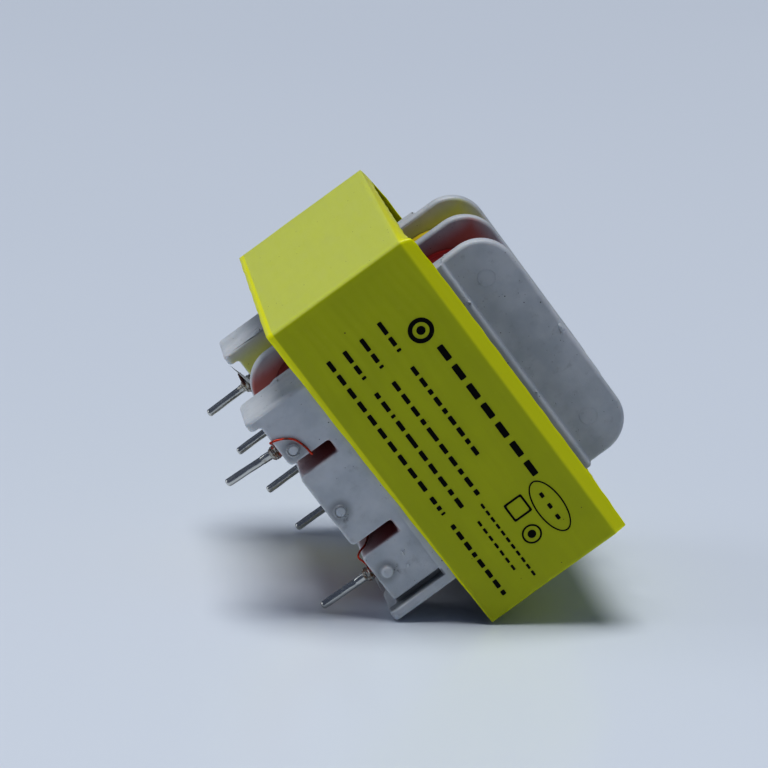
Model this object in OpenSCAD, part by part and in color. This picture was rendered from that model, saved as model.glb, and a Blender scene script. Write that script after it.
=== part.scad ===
// Mains transformer for a printed circuit board: an interleaved EI core held in yellow tape,
// a white two-chamber bobbin with a terminal block along each end, and six round pins.
// Millimetres. X runs along the core's width, Y along the coil's axis, and Z away from the pins.
// The origin is under the middle of the core, in the plane of the pin tips.

/* [Core sheets] */
// Width of an E sheet and length of an I sheet
core_w = 35; // [34:0.5:37]
// Width of the centre leg
centre_leg_w = 9.6; // [9:0.2:10.2]
// Width of each outer leg
outer_leg_w = 5; // [4.6:0.1:5.2]
// Width of the yoke, which is also the width of an I sheet
yoke_w = 5; // [4.6:0.1:5.6]
// Length of the window
window_l = 19.5; // [19:0.25:21]
// Thickness of one sheet
sheet_t = 0.5; // [0.35:0.05:0.65]
// Number of layers, each one E sheet and one I sheet
layer_count = 28; // [24:2:32]
// Varnish film between two sheets
film_t = 0.02; // [0.01:0.01:0.04]

/* [Core tape] */
// Thickness of the yellow band
tape_t = 0.2; // [0.1:0.05:0.3]
// Radius on the band's upright corners
tape_corner_r = 0.45; // [0.35:0.05:0.8]
// How far the band hangs below the core
tape_hang = 0.55; // [0.3:0.05:0.7]
// Width of the band's upper edge, past the fold over the core
lip_w = 1.3; // [0.8:0.05:1.6]
// Lean of that edge inwards from upright, on the front side, in degrees
front_lip_lean = 8; // [0:1:80]
// Lean on the right side
right_lip_lean = 25; // [0:1:80]
// Lean on the rear side
rear_lip_lean = 72; // [0:1:80]
// Lean on the left side
left_lip_lean = 55; // [0:1:80]

/* [Bobbin] */
// Gap between the centre leg and the inside of the coil tube
leg_clear = 0.2; // [0.1:0.05:0.3]
// Wall of the coil tube
tube_wall = 0.8; // [0.6:0.05:1]
// Radius on the coil tube's outer edges
tube_r = 0.6; // [0.3:0.05:0.8]
// Gap between the flanges and the outer legs
flange_clear = 0.2; // [0.15:0.05:0.5]
// Gap between the end flanges and the yokes
end_clear = 0.15; // [0.1:0.05:0.3]
// Thickness of the two end flanges
flange_t = 1.3; // [1:0.05:1.5]
// Thickness of the flange between the two chambers
mid_flange_t = 1.2; // [0.9:0.05:1.4]
// Place of the middle flange along the coil axis
mid_flange_y = 0.8; // [-0.5:0.1:1.5]
// Height of the flanges above the core
flange_rise = 7.75; // [6.6:0.05:8.6]
// Radius of the flanges' corners
flange_corner_r = 3.6; // [2.5:0.1:4.2]
// Rounding of the flanges' rims
flange_rim_r = 0.4; // [0.2:0.05:0.45]
// How far the middle flange hangs below the terminal bars
mid_flange_drop = 0.3; // [0:0.05:0.6]

/* [Ledges over the core] */
// How far each ledge stands out from its flange
ledge_reach = 0.9; // [0.5:0.05:1.2]
// Height of the ledge above the core
ledge_h = 2.1; // [1.6:0.05:2.6]
// Rounding along the ledge's upper edge
ledge_edge_r = 0.4; // [0.2:0.05:0.5]

/* [Terminal blocks] */
// Length of each block along X
block_w = 24.2; // [23.6:0.1:24.8]
// How far the block's face lies behind the face of the core
block_inset = 0.05; // [0.05:0.05:0.3]
// Height of the bar, from its underside to the core
bar_h = 6.1; // [5.4:0.1:6.8]
// Height of the rim under the core that the bar's face is set back from
rim_h = 0.75; // [0.5:0.05:1]
// Rounding of the block's upright edges
block_edge_r = 0.5; // [0.3:0.05:0.7]
// Rounding of the bars' lower corners beside the slots
bar_corner_r = 0.5; // [0.3:0.05:0.7]
// Depth to which the bar's face draws back towards the groove
face_sink = 0.4; // [0.1:0.05:0.6]
// Place where the face starts to draw back
face_sink_x = -2; // [-4:0.5:2]
// Width of the groove beside the end rib
groove_w = 0.65; // [0.4:0.05:0.8]
// Depth of the groove
groove_d = 1.3; // [0.8:0.1:1.8]
// Width of the feet and of the end rib
foot_w = 1.1; // [0.9:0.05:1.4]
// Height of the feet below the bar
foot_h = 1.05; // [0.8:0.05:1.6]
// Rounding of the feet's lower corners
foot_r = 0.7; // [0.3:0.05:0.75]

/* [Wire slots and locating bosses] */
// Distance from a row's first pin inwards to the middle of the slot beside it
slot_1_in = 1.95; // [1.7:0.05:2.4]
// Distance from a row's last pin inwards to the middle of the slot beside it
slot_2_in = 3.2; // [2.8:0.05:3.6]
// Width of the slots
slot_w = 1.4; // [1:0.05:1.7]
// Height of the slots from the bar's underside
slot_h = 4.35; // [3.6:0.05:4.8]
// Spacing of the bosses on the bar's face
boss_pitch = 7.5; // [7:0.1:7.8]
// Diameter of the bosses
boss_d = 1.1; // [0.8:0.1:1.4]
// Height of the bosses
boss_h = 0.25; // [0.15:0.05:0.4]
// Height of the bosses' centres above the bar's underside
boss_z = 1.15; // [0.9:0.05:1.6]

/* [Pins] */
// Diameter of the tinned round wire
pin_d = 0.8; // [0.6:0.05:0.9]
// Length of pin below the feet
pin_reach = 4.9; // [3.5:0.1:6]
// Depth to which a pin is pressed into its bar
pin_seat = 3.8; // [3:0.1:4.6]
// Rounding of a pin's tip
pin_tip_r = 0.22; // [0.1:0.02:0.28]
// Length of knurl below the bar on a pin that carries a lead
knurl_reach = 1.95; // [1.6:0.05:2.4]
// Distance between the two rows
row_pitch = 24; // [23:0.1:25]
// Distance between the two pins of the primary row
primary_pitch = 15; // [14.6:0.1:15.4]
// Distance between neighbouring pins of the secondary row
secondary_pitch = 5; // [4.9:0.02:5.1]

/* [Coils] */
// Thickness of the primary coil, without its wrap
primary_build = 4.7; // [3.8:0.1:4.9]
// Thickness of the secondary coil, without its wrap
secondary_build = 4.7; // [3.8:0.1:4.9]
// Thickness of the film wrapped round each coil
wrap_t = 0.2; // [0.1:0.05:0.3]
// Outer corner radius of the coils
coil_corner_r = 5.2; // [4:0.1:5.4]
// Gap between a coil and the flanges and tube
coil_clear = 0.05; // [0.02:0.01:0.1]

/* [Leads and joints] */
// Diameter of the primary's enamelled lead
primary_lead_d = 0.2; // [0.14:0.02:0.24]
// Diameter of the secondary's enamelled lead
secondary_lead_d = 0.34; // [0.26:0.02:0.36]
// Turns of a lead round its pin
lead_turns = 2.5; // [2:0.5:3]
// Gap between a lead and the bar it lies along
lead_gap = 0.03; // [0.02:0.01:0.05]
// Solder over the turns
solder_t = 0.05; // [0.03:0.01:0.1]
// Unit of length that the leads' routes are laid out in
route_unit = 1; // [0.9:0.05:1.1]
// Length of lead left standing out of a joint
lead_tail = 1.3; // [0.6:0.1:1.8]

/* [Hidden] */
$fn = 48;

// Core
core_l = window_l + 2 * yoke_w;
window_w = (core_w - centre_leg_w) / 2 - outer_leg_w;
stack_h = layer_count * sheet_t;

// Heights above the plane of the pin tips
seat_z = pin_reach;
bar_z = seat_z + foot_h;
core_z = bar_z + bar_h;
core_top_z = core_z + stack_h;
core_mid_z = core_z + stack_h / 2;
flange_top_z = core_top_z + flange_rise;

// Bobbin
bobbin_w = core_w - 2 * outer_leg_w - 2 * flange_clear;
bobbin_l = window_l - 2 * end_clear;
tube_in_w = centre_leg_w + 2 * leg_clear;
tube_in_h = stack_h + 2 * leg_clear;
tube_out_w = tube_in_w + 2 * tube_wall;
tube_out_h = tube_in_h + 2 * tube_wall;
inner_y = bobbin_l / 2 - flange_t;
ledge_y = bobbin_l / 2 + ledge_reach;
block_y = core_l / 2 - block_inset;
core_gap = 0.05;
slot_top_z = bar_z + slot_h;
front_pin_x = primary_pitch / 2;
rear_pin_x = 1.5 * secondary_pitch;
front_slots = [slot_1_in - front_pin_x, front_pin_x - slot_2_in];
rear_slots = [slot_1_in - rear_pin_x, rear_pin_x - slot_2_in];
pin_y = row_pitch / 2;
knurl_d = pin_d / cos(22.5);

// Chambers of the bobbin, each from its low to its high end along Y
primary_y = [-inner_y, mid_flange_y - mid_flange_t / 2];
secondary_y = [mid_flange_y + mid_flange_t / 2, inner_y];

WHITE = [0.87, 0.88, 0.88];
YELLOW = [0.80, 0.82, 0.05];
AMBER = [0.93, 0.80, 0.10];
MAROON = [0.45, 0.08, 0.08];
COPPER = [0.72, 0.38, 0.18];
STEEL = [0.45, 0.47, 0.50];
TIN = [0.75, 0.76, 0.76];
SOLDER = [0.62, 0.58, 0.48];
ENAMEL = [0.75, 0.22, 0.10];
DARK_ENAMEL = [0.20, 0.09, 0.06];

// ---- Shapes that repeat ----

// Rectangle about the origin with round corners
module rounded_rect(w, h, r) {
    square([w - 2 * r, h], center = true);
    square([w, h - 2 * r], center = true);
    for (x = [-1, 1], y = [-1, 1])
        translate([x * (w / 2 - r), y * (h / 2 - r)])
            circle(r);
}

// Half section of a disc of thickness t whose rim is rounded, from its axis out to r
module rim_section(r, t, rim) {
    translate([0, -t / 2])
        square([r - rim, t]);
    translate([0, rim - t / 2])
        square([r, t - 2 * rim]);
    for (s = [-1, 1])
        translate([r - rim, s * (t / 2 - rim)])
            circle(rim);
}

// Plate about the origin with round corners and a rounded rim all the way round
module rimmed_plate(w, h, t, r, rim) {
    rotate([90, 0, 90])
        linear_extrude(w - 2 * r, center = true)
            rounded_rect(h, t, rim);
    rotate([90, 0, 0])
        linear_extrude(h - 2 * r, center = true)
            rounded_rect(w, t, rim);
    for (x = [-1, 1], y = [-1, 1])
        translate([x * (w / 2 - r), y * (h / 2 - r), 0])
            rotate_extrude()
                rim_section(r, t, rim);
}

// Square-cornered tube of material along Y, between two rounded rectangles
module coil_ring(y, in_w, in_h, in_r, build, out_r) {
    translate([0, y[1], core_mid_z])
        rotate([90, 0, 0])
            linear_extrude(y[1] - y[0])
                difference() {
                    rounded_rect(in_w + 2 * build, in_h + 2 * build, out_r);
                    rounded_rect(in_w, in_h, in_r);
                }
}

// ---- Core sheets ----

// Outline of an E sheet whose yoke lies to the front
module e_outline() {
    difference() {
        translate([-core_w / 2, -core_l / 2])
            square([core_w, yoke_w + window_l]);
        for (s = [-1, 1])
            translate([s * (centre_leg_w + window_w) / 2 - window_w / 2, yoke_w - core_l / 2])
                square([window_w, window_l + 1]);
    }
}

// Outline of the I sheet that closes it, to the rear
module i_outline() {
    translate([-core_w / 2, core_l / 2 - yoke_w + film_t])
        square([core_w, yoke_w - film_t]);
}

// Every second layer, from the first one up; the others are turned end for end
module layers(first) {
    for (k = [first:2:layer_count - 1])
        translate([0, 0, core_z + k * sheet_t])
            linear_extrude(sheet_t - film_t)
                children();
}

module front_yoke_e_sheets() {
    color(STEEL)
        layers(0)
            e_outline();
}

module rear_i_sheets() {
    color(STEEL)
        layers(0)
            i_outline();
}

module rear_yoke_e_sheets() {
    color(STEEL)
        rotate(180)
            layers(1)
                e_outline();
}

module front_i_sheets() {
    color(STEEL)
        rotate(180)
            layers(1)
                i_outline();
}

// ---- Core tape ----

// Leans of the lips on the right, rear, left and front sides, in that order
lip_leans = [right_lip_lean, rear_lip_lean, left_lip_lean, front_lip_lean];

function lip_run(side) = lip_w * sin(lip_leans[(side + 4) % 4]);

// Lip on one side, leaning in from the fold, and mitred where it meets its neighbours
module lip(side) {
    out_w = (side % 2 == 0 ? core_w : core_l) / 2 + tape_t;
    out_l = (side % 2 == 0 ? core_l : core_w) / 2 + tape_t;
    fold_z = core_top_z + tape_t;
    lean = lip_leans[side];
    along = lip_w * [-sin(lean), cos(lean)];
    inwards = tape_t * [-cos(lean), -sin(lean)];
    fold = [out_w, fold_z];
    inner_w = out_w - lip_run(side) - tape_t;
    rotate(90 * side)
        intersection() {
            rotate([90, 0, 0])
                linear_extrude(2 * out_l, center = true)
                    polygon([fold, fold + along, fold + along + inwards, fold + inwards]);
            translate([0, 0, core_z])
                linear_extrude(stack_h + 2 * tape_t + lip_w)
                    polygon([
                        [out_w, -out_l],
                        [out_w, out_l],
                        [inner_w, out_l - lip_run(side + 1) - tape_t],
                        [inner_w, lip_run(side - 1) + tape_t - out_l]
                    ]);
        }
}

module core_tape() {
    color(YELLOW) {
        translate([0, 0, core_z - tape_hang])
            linear_extrude(stack_h + tape_hang + tape_t)
                difference() {
                    rounded_rect(core_w + 2 * tape_t, core_l + 2 * tape_t, tape_corner_r);
                    square([core_w, core_l], center = true);
                }
        for (side = [0:3])
            lip(side);
    }
}

// ---- Bobbin ----

// Upright flange from low_z to the top, centred on y
module flange(y, low_z, t) {
    translate([0, y, (low_z + flange_top_z) / 2])
        rotate([90, 0, 0])
            rimmed_plate(bobbin_w, flange_top_z - low_z, t, flange_corner_r, flange_rim_r);
}

// Ledge at the foot of the front flange, lying over the yoke, with a rounded upper edge
module ledge() {
    r = ledge_edge_r;
    low = core_top_z + core_gap;
    high = core_top_z + ledge_h;
    rotate([90, 0, 90])
        linear_extrude(bobbin_w, center = true) {
            translate([-ledge_y, low])
                square([ledge_reach + flange_t / 2, high - low - r]);
            translate([r - ledge_y, low])
                square([ledge_reach + flange_t / 2 - r, high - low]);
            translate([r - ledge_y, high - r])
                circle(r);
        }
}

// Stretch of bar between two places along X, with round lower corners
module bar_stretch(x0, x1) {
    r = bar_corner_r;
    translate([x0, bar_z + r])
        square([x1 - x0, bar_h - core_gap - r]);
    translate([x0 + r, bar_z])
        square([x1 - x0 - 2 * r, bar_h / 2]);
    for (x = [x0 + r, x1 - r])
        translate([x, bar_z + r])
            circle(r);
}

// Front view of the block: the plate under the core and three stretches of bar
module block_front(slots) {
    half = block_w / 2;
    translate([-half, slot_top_z])
        square([block_w, core_z - core_gap - slot_top_z]);
    bar_stretch(-half, slots[0] - slot_w / 2);
    bar_stretch(slots[0] + slot_w / 2, slots[1] - slot_w / 2);
    bar_stretch(slots[1] + slot_w / 2, half);
}

// Plan of the block, with its two outer upright edges rounded
module block_plan() {
    r = block_edge_r;
    translate([-block_w / 2, r - block_y])
        square([block_w, block_y - inner_y - r]);
    translate([r - block_w / 2, -block_y])
        square([block_w - 2 * r, block_y - inner_y]);
    for (s = [-1, 1])
        translate([s * (block_w / 2 - r), r - block_y])
            circle(r);
}

// Side view of one foot, from the bar's inside down to the seat
module foot_side() {
    r = foot_r;
    depth = block_y - inner_y;
    translate([-block_y, seat_z + r])
        square([depth, foot_h + bar_h / 2 - r]);
    translate([r - block_y, seat_z])
        square([depth - 2 * r, foot_h]);
    for (y = [r - block_y, -inner_y - r])
        translate([y, seat_z + r])
            circle(r);
}

// Terminal block with its face to the front
module terminal_block(slots) {
    rib_x = block_w / 2 - foot_w;
    difference() {
        union() {
            intersection() {
                translate([0, 0, bar_z])
                    linear_extrude(bar_h)
                        block_plan();
                rotate([90, 0, 0])
                    linear_extrude(core_l / 2)
                        block_front(slots);
            }
            intersection() {
                translate([0, 0, seat_z])
                    linear_extrude(bar_h)
                        block_plan();
                for (x = [-block_w / 2, rib_x])
                    translate([x, 0, 0])
                        rotate([90, 0, 90])
                            linear_extrude(foot_w)
                                foot_side();
            }
        }
        // The face draws back from under the rim, more and more towards the groove
        translate([0, 0, bar_z - 1])
            linear_extrude(bar_h - rim_h + 1)
                polygon([
                    [face_sink_x, -block_y],
                    [rib_x, face_sink - block_y],
                    [rib_x, -block_y - 1],
                    [face_sink_x, -block_y - 1]
                ]);
        // Groove between the bar and the end rib
        translate([rib_x - groove_w, -block_y - 1, bar_z - 1])
            cube([groove_w, groove_d + 1, bar_h - rim_h + 1]);
    }
    for (k = [-1:1])
        translate([k * boss_pitch, 0, bar_z + boss_z])
            rotate([90, 0, 0])
                cylinder(h = block_y + boss_h, d = boss_d);
}

// The boss cylinders start at the middle, so what lies inside the block is cut off here
module trimmed_terminal_block(slots) {
    intersection() {
        terminal_block(slots);
        translate([-block_w / 2, -block_y - boss_h, 0])
            cube([block_w, block_y + boss_h - inner_y, core_z]);
    }
}

// Slots that the leads of one row leave by
module wire_slots(slots) {
    for (x = slots)
        translate([x - slot_w / 2, -core_l / 2, bar_z - 1])
            cube([slot_w, core_l / 2 - inner_y + 1, slot_h + 1]);
}

// Eight-sided knurl of a pin, from a height of low to the bottom of its hole
module knurl(x, y, low) {
    translate([x, y, low])
        rotate(22.5)
            cylinder(h = bar_z + pin_seat - low, d = knurl_d, $fn = 8);
}

module bobbin() {
    end_flange_y = bobbin_l / 2 - flange_t / 2;
    color(WHITE)
        difference() {
            union() {
                coil_ring([-bobbin_l / 2, bobbin_l / 2], tube_in_w, tube_in_h, tube_r / 4, tube_wall, tube_r);
                flange(-end_flange_y, bar_z, flange_t);
                flange(end_flange_y, bar_z, flange_t);
                flange(mid_flange_y, bar_z - mid_flange_drop, mid_flange_t);
                for (a = [0, 180])
                    rotate(a) {
                        ledge();
                        trimmed_terminal_block(a == 0 ? front_slots : rear_slots);
                    }
            }
            translate([-tube_in_w / 2, -core_l / 2, core_mid_z - tube_in_h / 2])
                cube([tube_in_w, core_l, tube_in_h]);
            for (a = [0, 180])
                rotate(a)
                    wire_slots(a == 0 ? front_slots : rear_slots);
            for (x = [-1, 1])
                knurl(x * front_pin_x, -pin_y, bar_z - 1);
            for (k = [-1.5:1:1.5])
                knurl(k * secondary_pitch, pin_y, bar_z - 1);
        }
}

// ---- Coils and their wraps ----

// Winding space of a chamber, less the gap at each flange
function coil_y(chamber) = [chamber[0] + coil_clear, chamber[1] - coil_clear];

module coil(chamber, build) {
    g = 2 * coil_clear;
    coil_ring(coil_y(chamber), tube_out_w + g, tube_out_h + g, tube_r, build, coil_corner_r);
}

module wrap(chamber, build) {
    g = 2 * coil_clear + 2 * build;
    coil_ring(coil_y(chamber), tube_out_w + g, tube_out_h + g, coil_corner_r, wrap_t, coil_corner_r + wrap_t);
}

module primary_coil() {
    color(COPPER)
        coil(primary_y, primary_build);
}

module primary_wrap() {
    color(MAROON)
        wrap(primary_y, primary_build);
}

module secondary_coil() {
    color(COPPER)
        coil(secondary_y, secondary_build);
}

module secondary_wrap() {
    color(AMBER)
        wrap(secondary_y, secondary_build);
}

// ---- Pins ----

// Round pin with a rounded tip, knurled from a height of grip_z up to its end in the bar
module pin(x, y, grip_z) {
    r = pin_d / 2;
    color(TIN) {
        translate([x, y, 0])
            rotate_extrude() {
                translate([0, pin_tip_r])
                    square([r, grip_z - pin_tip_r]);
                square([r - pin_tip_r, 2 * pin_tip_r]);
                intersection() {
                    translate([r - pin_tip_r, pin_tip_r])
                        circle(pin_tip_r);
                    square([r, 2 * pin_tip_r]);
                }
            }
        knurl(x, y, grip_z);
    }
}

module pin_1() {
    pin(-front_pin_x, -pin_y, bar_z - knurl_reach);
}

module pin_3() {
    pin(front_pin_x, -pin_y, bar_z - knurl_reach);
}

module pin_4() {
    pin(rear_pin_x, pin_y, bar_z - knurl_reach);
}

module pin_5() {
    pin(0.5 * secondary_pitch, pin_y, bar_z);
}

module pin_6() {
    pin(-0.5 * secondary_pitch, pin_y, bar_z);
}

module pin_7() {
    pin(-rear_pin_x, pin_y, bar_z - knurl_reach);
}

// ---- Leads ----

function unit(v) = v / norm(v);

// Point at share t of the way from b to c on a smooth curve through a, b, c and d
function curve_point(a, b, c, d, t) =
    0.5 * (2 * b + (c - a) * t + (2 * a - 5 * b + 4 * c - d) * t * t + (3 * b - a - 3 * c + d) * t * t * t);

// Smooth curve through all the points, with n steps from each to the next
function smooth(p, n) = [
    for (i = [0:len(p) - 2], k = [0:n - 1])
        curve_point(p[max(i - 1, 0)], p[i], p[i + 1], p[min(i + 2, len(p) - 1)], k / n),
    p[len(p) - 1]
];

function direction(p, i) = unit(p[min(i + 1, len(p) - 1)] - p[max(i - 1, 0)]);

// Side vector of each ring, carried along the path so that the tube never twists
function carried(p, i, v) =
    let (t = direction(p, i), w = unit(v - (v * t) * t))
    i == len(p) - 1 ? [w] : concat([w], carried(p, i + 1, w));

// Tube of a given radius and number of sides along a path
module tube_along(p, r, sides) {
    rings = carried(p, 0, [0.31, 0.17, 0.93]);
    last = len(p) - 1;
    polyhedron(
        points = [
            for (i = [0:last], k = [0:sides - 1])
                p[i] + r * (cos(360 * k / sides) * rings[i]
                    + sin(360 * k / sides) * cross(direction(p, i), rings[i]))
        ],
        faces = concat(
            [[for (k = [sides - 1:-1:0]) k]],
            [
                for (i = [0:last - 1], k = [0:sides - 1])
                    let (a = i * sides + k, b = i * sides + (k + 1) % sides)
                    each [[a, b, b + sides], [a, b + sides, a + sides]]
            ],
            [[for (k = [0:sides - 1]) last * sides + k]]
        )
    );
}

// Turns round a pin, from under the bar downwards, starting at angle a0
function turns(x, d, a0, dir) = [
    for (k = [0:lead_turns * 10])
        let (a = a0 + dir * 36 * k, r = (knurl_d + d) / 2 + lead_gap)
        [x + r * cos(a), r * sin(a) - pin_y, bar_z - lead_gap - d / 2 - 1.1 * d * k / 10]
];

// Route from the first slot, over the bar's face and under its edge, to the pin at -x
function face_route(d) =
    let (
        u = route_unit,
        x = front_slots[0] - slot_w / 2 + d / 2 + 2 * lead_gap,
        start_z = bar_z + 1.8 * u,
        face = block_y + d / 2 + lead_gap,
        under = bar_z - d / 2 - lead_gap,
        pin_x = -front_pin_x
    )
    concat(
        smooth([
            [x + 0.2 * u, -inner_y + coil_clear, start_z],
            [x + 0.2 * u, -inner_y - 0.6 * u, start_z],
            [x + 0.2 * u, -inner_y - 1.6 * u, start_z],
            [x + 0.1 * u, -pin_y, bar_z + 2.1 * u],
            [x, 0.5 * u - block_y, bar_z + 2.3 * u],
            [x - 0.1 * u, -face, bar_z + 2.3 * u],
            [x - 0.8 * u, -face, bar_z + 2.25 * u],
            [x - 1.5 * u, -face, bar_z + 2.1 * u],
            [x - 2.2 * u, -face, bar_z + 1.8 * u],
            [x - 2.75 * u, -face, bar_z + 1.2 * u],
            [x - 3.1 * u, -face, bar_z + 0.5 * u],
            [x - 3.25 * u, -face - 0.02 * u, bar_z - 0.02 * u],
            [x - 3.2 * u, 0.1 * u - face, under - 0.03 * u],
            [x - 2.8 * u, 0.9 * u - face, under],
            [pin_x - 0.9 * u, -pin_y - 0.65 * u, under]
        ], 3),
        turns(pin_x, d, 250, 1)
    );

// Route from a slot, down its inside and under the bar, to the pin on that side
function edge_route(d, side, slots, pin_x) =
    let (
        u = route_unit,
        slot = slots[side > 0 ? 1 : 0],
        x = slot + side * (slot_w / 2 - d / 2 - 2 * lead_gap),
        start_z = bar_z + 1.7 * u,
        under = bar_z - d / 2 - lead_gap,
        turn_x = x + side * 0.3 * u,
        near_x = pin_x - side * 0.7 * u
    )
    concat(
        smooth([
            [x, -inner_y + coil_clear, start_z],
            [x, -inner_y - 0.6 * u, start_z],
            [x, -inner_y - 1.3 * u, start_z],
            [x, 0.9 * u - pin_y, bar_z + 1.3 * u],
            [x, -pin_y - 0.4 * u, bar_z + 0.8 * u],
            [x - side * 0.03 * u, -pin_y - 1.2 * u, bar_z + 0.1 * u],
            [turn_x, -pin_y - 1.35 * u, under - 0.15 * u],
            [(turn_x + near_x) / 2, -pin_y - 1.05 * u, under - 0.03 * u],
            [near_x, -pin_y - 0.6 * u, under]
        ], 3),
        turns(pin_x, d, side > 0 ? 250 : 290, side)
    );

// Cut end that stands out of a joint, away from the middle
function tail(p, side) =
    let (q = p[len(p) - 1], l = lead_tail)
    [q + [side * l * 0.45, -0.12 * l, -0.04 * l], q + [side * l, -0.2 * l, 0.08 * l]];

module primary_start_lead() {
    color(ENAMEL)
        tube_along(face_route(primary_lead_d), primary_lead_d / 2, 6);
}

module primary_finish_lead() {
    color(ENAMEL)
        tube_along(edge_route(primary_lead_d, 1, front_slots, front_pin_x), primary_lead_d / 2, 6);
}

module secondary_start_lead() {
    color(DARK_ENAMEL)
        rotate(180)
            tube_along(edge_route(secondary_lead_d, -1, rear_slots, -rear_pin_x), secondary_lead_d / 2, 6);
}

module secondary_finish_lead() {
    route = edge_route(secondary_lead_d, 1, rear_slots, rear_pin_x);
    color(DARK_ENAMEL)
        rotate(180)
            tube_along(concat(route, tail(route, 1)), secondary_lead_d / 2, 6);
}

// ---- Solder joints ----

// Collar of solder over the turns of a lead, drawn out to the pin below them
module solder_joint(x, y, d) {
    r = pin_d / 2;
    out = knurl_d / 2 + d + lead_gap + solder_t;
    high = bar_z - lead_gap / 2;
    low = high - d - 1.1 * d * lead_turns;
    color(SOLDER)
        difference() {
            translate([x, y, 0])
                rotate_extrude()
                    polygon([
                        [0, high],
                        [out - r / 3, high],
                        [out, high - r / 3],
                        [out, low + r / 3],
                        [r * 1.4, low - r * 0.7],
                        [r * 1.17, low - r * 1.4],
                        [0, low - r * 1.4]
                    ]);
            knurl(x, y, bar_z - knurl_reach);
        }
}

module solder_joint_1() {
    solder_joint(-front_pin_x, -pin_y, primary_lead_d);
}

module solder_joint_3() {
    solder_joint(front_pin_x, -pin_y, primary_lead_d);
}

module solder_joint_4() {
    solder_joint(rear_pin_x, pin_y, secondary_lead_d);
}

module solder_joint_7() {
    solder_joint(-rear_pin_x, pin_y, secondary_lead_d);
}

bobbin();
front_yoke_e_sheets();
rear_yoke_e_sheets();
front_i_sheets();
rear_i_sheets();
core_tape();
primary_coil();
primary_wrap();
secondary_coil();
secondary_wrap();
pin_1();
pin_3();
pin_4();
pin_5();
pin_6();
pin_7();
primary_start_lead();
primary_finish_lead();
secondary_start_lead();
secondary_finish_lead();
solder_joint_1();
solder_joint_3();
solder_joint_4();
solder_joint_7();
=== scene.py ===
"""Looks for a printed-circuit-board mains transformer: a yellow-taped core, a white bobbin and six pins.

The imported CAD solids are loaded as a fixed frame, in metres. Each step below makes one piece or
one finish of the real transformer and sets it on that frame. Shapes are worked out in millimetres
and scaled to metres as they become meshes.
"""

# %% [markdown]
# Load the frame first. The box of a CAD solid is read here, because some sizes below are taken from
# it.

import bmesh
import bpy
import numpy as np
from mathutils import Matrix, Vector
from mathutils.bvhtree import BVHTree


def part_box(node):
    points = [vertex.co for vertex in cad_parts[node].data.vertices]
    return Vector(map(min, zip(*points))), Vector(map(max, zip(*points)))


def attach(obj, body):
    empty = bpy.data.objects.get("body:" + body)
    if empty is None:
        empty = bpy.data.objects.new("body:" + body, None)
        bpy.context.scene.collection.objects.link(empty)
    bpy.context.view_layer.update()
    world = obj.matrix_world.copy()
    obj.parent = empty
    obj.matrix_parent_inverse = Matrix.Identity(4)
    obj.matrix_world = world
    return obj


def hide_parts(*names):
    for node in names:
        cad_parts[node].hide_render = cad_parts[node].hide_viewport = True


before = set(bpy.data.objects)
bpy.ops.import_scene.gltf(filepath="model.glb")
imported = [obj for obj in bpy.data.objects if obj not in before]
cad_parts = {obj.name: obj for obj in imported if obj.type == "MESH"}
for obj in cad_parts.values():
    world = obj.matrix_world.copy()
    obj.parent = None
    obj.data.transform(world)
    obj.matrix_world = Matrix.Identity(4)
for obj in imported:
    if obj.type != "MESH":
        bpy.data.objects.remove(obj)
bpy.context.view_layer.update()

# %% [markdown]
# The transformer lies tipped over on its side: one edge of the tape and one edge of the bobbin's
# feet touch the table. The frame stays upright as the CAD has it, so the table is tipped instead,
# through those two edges, and "up" in the room is the direction square to it.

# %% Where the table is
FEET_Z = 4.9
TAPE_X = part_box("core_tape")[1].x * 1000
TAPE_LOW_Z = 11.83
FOOT_EDGE_X = 12.1


def unit(v):
    """The vector divided by its length."""
    v = np.asarray(v, float)
    return v / np.linalg.norm(v)


along_table = unit([TAPE_X - FOOT_EDGE_X, 0, TAPE_LOW_Z - FEET_Z])
UP = np.array([-along_table[2], 0, along_table[0]])
TABLE_POINT = np.array([FOOT_EDGE_X, 0, FEET_Z])
print("up in the room:", np.round(UP, 4).tolist())

# %% [markdown]
# The camera looks at the front face from a little to the left, through a long lens, so that
# parallel edges stay nearly parallel. Its axes are typed as the rows of its turning matrix.

# %% Camera
CAMERA_AT = np.array([-114.79, -364.41, 41.29])
RIGHT = np.array([0.57737, -0.12207, 0.80731])
DOWN = np.array([0.76221, -0.27390, -0.58653])
FORWARD = np.array([0.29272, 0.95398, -0.06510])

camera = bpy.data.objects.new("camera", bpy.data.cameras.new("camera"))
bpy.context.scene.collection.objects.link(camera)
camera.data.lens = 187.5
camera.data.sensor_width = 36
camera.data.clip_start, camera.data.clip_end = 0.05, 10
turn = Matrix(np.column_stack([RIGHT, -DOWN, -FORWARD]).tolist()).to_4x4()
camera.matrix_world = Matrix.Translation(Vector((CAMERA_AT * 0.001).tolist())) @ turn
bpy.context.scene.camera = camera

# %% [markdown]
# Light comes from a soft source straight overhead, so the left face and the upper rims are bright,
# while the printed front stands upright in the room and is lit only by the pale table. A sun lamp
# lights the whole table evenly, as a light tent does. A weak blue room fills the deep shadows.


# %% Light
def aim(lamp, towards):
    """Turn a lamp so that its light comes from the direction given: its own Z axis points there."""
    lamp.matrix_world = Vector(unit(towards).tolist()).to_track_quat("Z", "Y").to_matrix().to_4x4()


def sun(name, towards, strength, angle, colour):
    """A sun lamp of a strength, an apparent width in radians and a colour."""
    lamp = bpy.data.objects.new(name, bpy.data.lights.new(name, "SUN"))
    lamp.data.energy, lamp.data.angle, lamp.data.color = strength, angle, colour
    bpy.context.scene.collection.objects.link(lamp)
    aim(lamp, towards)
    return lamp


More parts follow.
